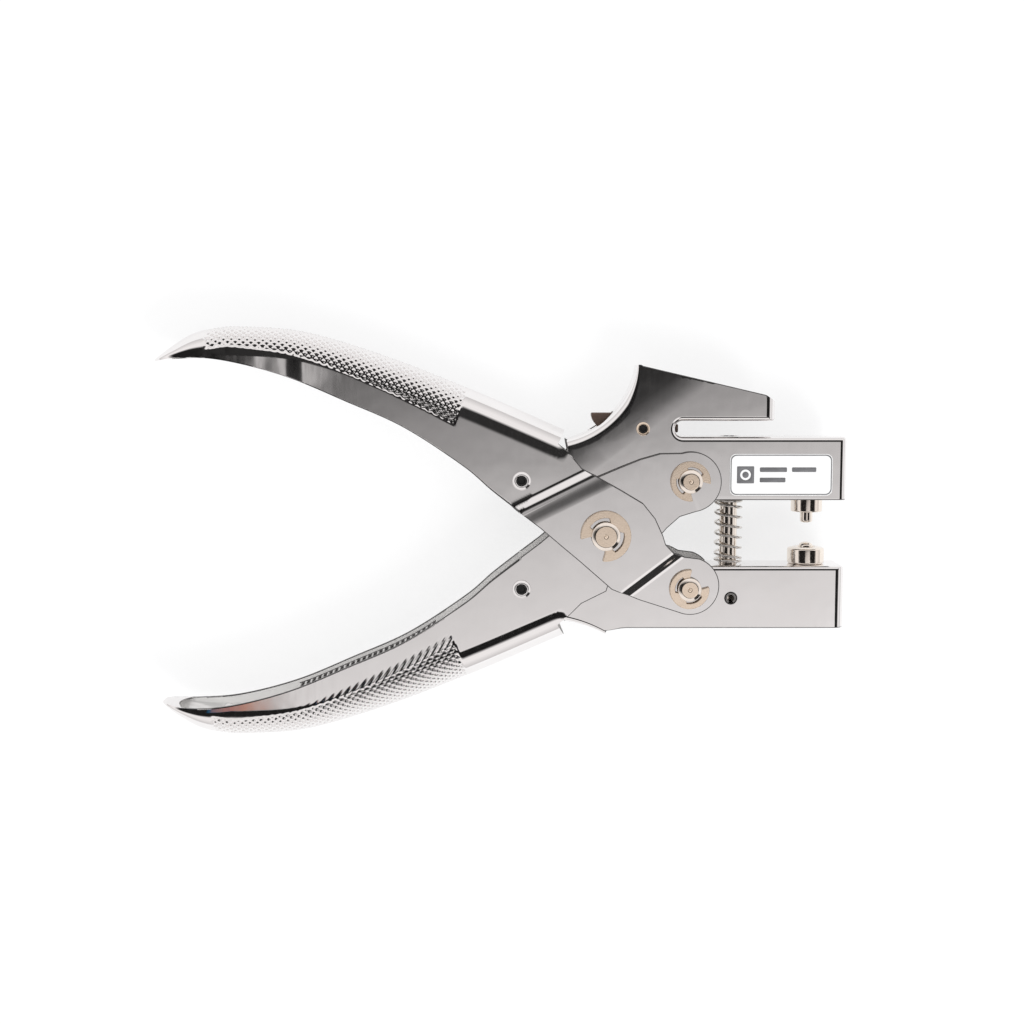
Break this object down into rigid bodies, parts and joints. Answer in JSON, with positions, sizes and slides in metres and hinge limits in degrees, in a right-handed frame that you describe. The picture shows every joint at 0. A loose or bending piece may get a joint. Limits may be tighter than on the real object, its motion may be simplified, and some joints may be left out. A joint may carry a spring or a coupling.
{
  "type": "eyelet punch pliers",
  "caption": "Compound-leverage hand pliers that punch a hole in a side slot and set an eyelet between a die and an anvil, with parallel jaws, guide post and return spring.",
  "frame": {"origin": "on the surface that the tool lies on, under the middle of its bounding box", "axes": "+X forward to the nose of the jaws, +Y the way the upper jaw opens, +Z across the cheeks, up from the surface that it lies on"},
  "size_m": [0.195, 0.1174, 0.0242],
  "materials": {
    "chrome_plate": "bright chrome plate on pressed sheet steel",
    "nickel_plate": "bright nickel plate, turned or stamped",
    "hard_steel": "machined steel, satin",
    "spring_steel": "drawn spring wire, bright",
    "brown_nylon": "moulded nylon, satin",
    "plate_enamel": "white enamel plate"
  },
  "bodies": {
    "lower_jaw": {"lower_jaw_frame": "chrome_plate", "post_foot_block": "hard_steel", "anvil_block": "hard_steel", "guide_post": "nickel_plate", "post_roll_pin": "hard_steel", "return_spring": "spring_steel", "anvil": "nickel_plate", "nub_spring": "spring_steel", "lower_jaw_pin": "nickel_plate", "lower_jaw_e_clip": "nickel_plate"},
    "locating_nub": {"locating_nub": "nickel_plate"},
    "upper_handle": {"upper_handle": "chrome_plate", "upper_handle_rivet": "nickel_plate", "main_pivot_pin": "nickel_plate", "main_e_clip": "nickel_plate"},
    "lower_handle": {"lower_handle": "chrome_plate", "lower_handle_rivet": "nickel_plate"},
    "upper_jaw": {"upper_jaw_frame": "chrome_plate", "post_guide": "hard_steel", "punch_die": "hard_steel", "upper_die_block": "hard_steel", "upper_setting_die": "nickel_plate", "setting_die_pin": "nickel_plate", "name_plate": "plate_enamel", "stop_pin": "nickel_plate", "upper_jaw_pin": "nickel_plate", "upper_jaw_e_clip": "nickel_plate"},
    "depth_stop": {"depth_stop": "brown_nylon"}
  },
  "joints": [
    {"name": "main_pivot", "type": "hinge", "parent": "upper_handle", "child": "lower_handle", "pos_m": [0.02965, 0, 0.0115], "axis": [0, 0, -1], "range_deg": [0, 19.4], "stiffness_Nm_per_rad": 1.2, "springref_deg": -11.46, "deforming": ["return_spring"]},
    {"name": "lower_jaw_pivot", "type": "hinge", "parent": "lower_jaw", "child": "upper_handle", "pos_m": [0.05335, -0.0152, 0.0115], "axis": [0, 0, 1], "range_deg": [0, 9.7]},
    {"name": "upper_jaw_pivot", "type": "hinge", "parent": "lower_handle", "child": "upper_jaw", "pos_m": [0.05335, 0.0152, 0.0115], "axis": [0, 0, 1], "range_deg": [0, 9.7]},
    {"name": "nub_slide", "type": "slide", "parent": "lower_jaw", "child": "locating_nub", "axis": [0, -1, 0], "range_m": [0, 0.0031], "deforming": ["nub_spring"]},
    {"name": "depth_stop_slide", "type": "slide", "parent": "upper_jaw", "child": "depth_stop", "axis": [1, 0, 0], "range_m": [0, 0.0045]}
  ],
  "couplings": [
    {"joint": "lower_jaw_pivot", "follows": "main_pivot", "ratio": 0.5},
    {"joint": "upper_jaw_pivot", "follows": "main_pivot", "ratio": 0.5},
    {"joint": "nub_slide", "follows": "main_pivot", "m_per_rad": 0.00915}
  ]
}
